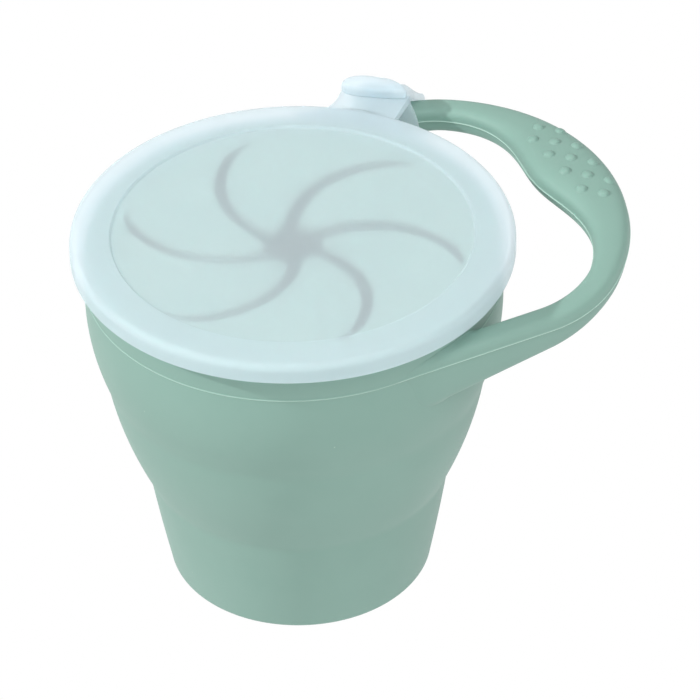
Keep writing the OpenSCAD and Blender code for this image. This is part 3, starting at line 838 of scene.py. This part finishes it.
# Head: rings from the middle of its underside round the lower and the upper edge, then
# over a slightly crowned top to the middle.
angle = np.linspace(0, 2 * np.pi, button["around"], endpoint=False)[None]
turnIn = np.linspace(0, np.pi / 2, button["edgeSteps"])[:, None]
inward = np.linspace(1, 0, button["crownSteps"])[1:, None]
footEdge, topEdge, crown = button["footEdge"], button["topEdge"], button["crown"]
headLow, headHigh = strapTop + button["gap"], coverTop + button["rise"]
inset = np.vstack([footEdge - footEdge * np.sin(turnIn), topEdge - topEdge * np.cos(turnIn)])
edgeReach = headOutline(angle) - inset
reach = np.vstack([np.zeros_like(edgeReach[:1]), edgeReach, edgeReach[-1:] * inward])
height = np.vstack([[[headLow]], headLow + footEdge - footEdge * np.cos(turnIn),
                    headHigh - topEdge - crown + topEdge * np.sin(turnIn),
                    headHigh - crown + crown * (1 - inward ** 2)])
localX, localY = reach * np.cos(angle), reach * np.sin(angle)
headTurn = math.radians(tongue["direction"] + button["turn"])
head = np.stack([centre[0] + localX * math.cos(headTurn) - localY * math.sin(headTurn),
                 centre[1] + localX * math.sin(headTurn) + localY * math.cos(headTurn),
                 np.broadcast_to(height, reach.shape)], -1)
neckRise = np.linspace(0, 1, button["neckSteps"])[:, None]
flare = 1 + button["neckFlare"] * (2 * neckRise - 1) ** 2
neckX = button["neckWidth"] / 2 * np.cos(angle) * flare
neckY = button["neckLength"] / 2 * np.sin(angle) * flare
neckZ = strapTop - button["neckSink"] + button["neckHeight"] * neckRise
neck = capped(np.stack([centre[0] + neckX * along[0] - neckY * along[1],
                        centre[1] + neckX * along[1] + neckY * along[0],
                        np.broadcast_to(neckZ, neckX.shape)], -1))
quads = [gridFaces(*head.shape[:2], False, True),
         gridFaces(*neck.shape[:2], False, True) + head[..., 0].size]
strapButton = meshObject("strapButton", np.vstack([head.reshape(-1, 3), neck.reshape(-1, 3)]),
                         np.vstack(quads), milkyThick, smoothAngle=75)
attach(strapButton, "top")
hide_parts("strap_button")
print("cover and tether made")

# Floor, light and camera.
studio = {
    "floorHalf": 3000.0, "floorDrop": 0.05,  # mm
    "floorGlow": 1.0, "world": 0.42, "middle": (0, 0, 0.06),
    # azimuth and elevation in degrees, distance and size in metres, power in watts
    "key": (161, 34, 1.5, 0.05, 15.0),
    "top": (-100, 66, 1.4, 0.9, 11.6),
    "front": (-96, 10, 1.5, 1.0, 4.9),
}
# A light table: it glows evenly white, so that no shadow falls on it. It lies a hair
# below the cup's underside.
floorMaterial, tree, output = newMaterial("whiteLightTable")
shader = addNode(tree, "ShaderNodeBsdfPrincipled", {
    "Base Color": (0, 0, 0, 1), "Specular IOR Level": 0.0, "Roughness": 1.0,
    "Emission Color": (1, 1, 1, 1), "Emission Strength": studio["floorGlow"]})
tree.links.new(shader.outputs[0], output.inputs["Surface"])
floorCorners = [(x * studio["floorHalf"], y * studio["floorHalf"], -studio["floorDrop"])
                for x, y in ((-1, -1), (1, -1), (1, 1), (-1, 1))]
floor = meshObject("studioFloor", floorCorners, np.array([[0, 1, 2, 3]]), floorMaterial,
                   recalculate=False)

world = bpy.data.worlds.new("studioWorld")
bpy.context.scene.world = world
world.use_nodes = True
background = world.node_tree.nodes["Background"]
background.inputs["Color"].default_value = (1, 1, 1, 1)
background.inputs["Strength"].default_value = studio["world"]


def areaLamp(name, azimuth, elevation, distance, size, power):
    lamp = bpy.data.lights.new(name, "AREA")
    lamp.size, lamp.energy = size, power
    holder = bpy.data.objects.new(name, lamp)
    azimuth, elevation = math.radians(azimuth), math.radians(elevation)
    out = Vector((math.cos(elevation) * math.cos(azimuth),
                  math.cos(elevation) * math.sin(azimuth), math.sin(elevation)))
    holder.location = Vector(studio["middle"]) + out * distance
    holder.rotation_euler = (-out).to_track_quat("-Z", "Y").to_euler()
    bpy.context.scene.collection.objects.link(holder)


areaLamp("keyLamp", *studio["key"])
areaLamp("topSoftbox", *studio["top"])
areaLamp("frontSoftbox", *studio["front"])

# Camera: azimuth and roll in degrees, lens in mm, the rest in metres or shares of the frame.
view = {
    "azimuth": -26.2, "back": 0.8424, "height": 0.7036, "target": 0.0463, "roll": -1.61,
    "lens": 239.6, "sensor": 36, "shiftX": 0.0759, "shiftY": 0.0540,
}
camera = bpy.data.cameras.new("camera")
camera.lens, camera.sensor_width = view["lens"], view["sensor"]
camera.shift_x, camera.shift_y = view["shiftX"], view["shiftY"]
holder = bpy.data.objects.new("camera", camera)
turnBack = math.radians(view["azimuth"])
place = Vector((math.sin(turnBack) * view["back"], -math.cos(turnBack) * view["back"],
                view["height"]))
aim = (Vector((0, 0, view["target"])) - place).to_track_quat("-Z", "Y").to_matrix()
roll = Matrix.Rotation(math.radians(view["roll"]), 3, "Z")
holder.matrix_world = Matrix.Translation(place) @ (aim @ roll).to_4x4()
bpy.context.scene.collection.objects.link(holder)
bpy.context.scene.camera = holder
bpy.context.scene.view_settings.view_transform = "Standard"
print("studio set")
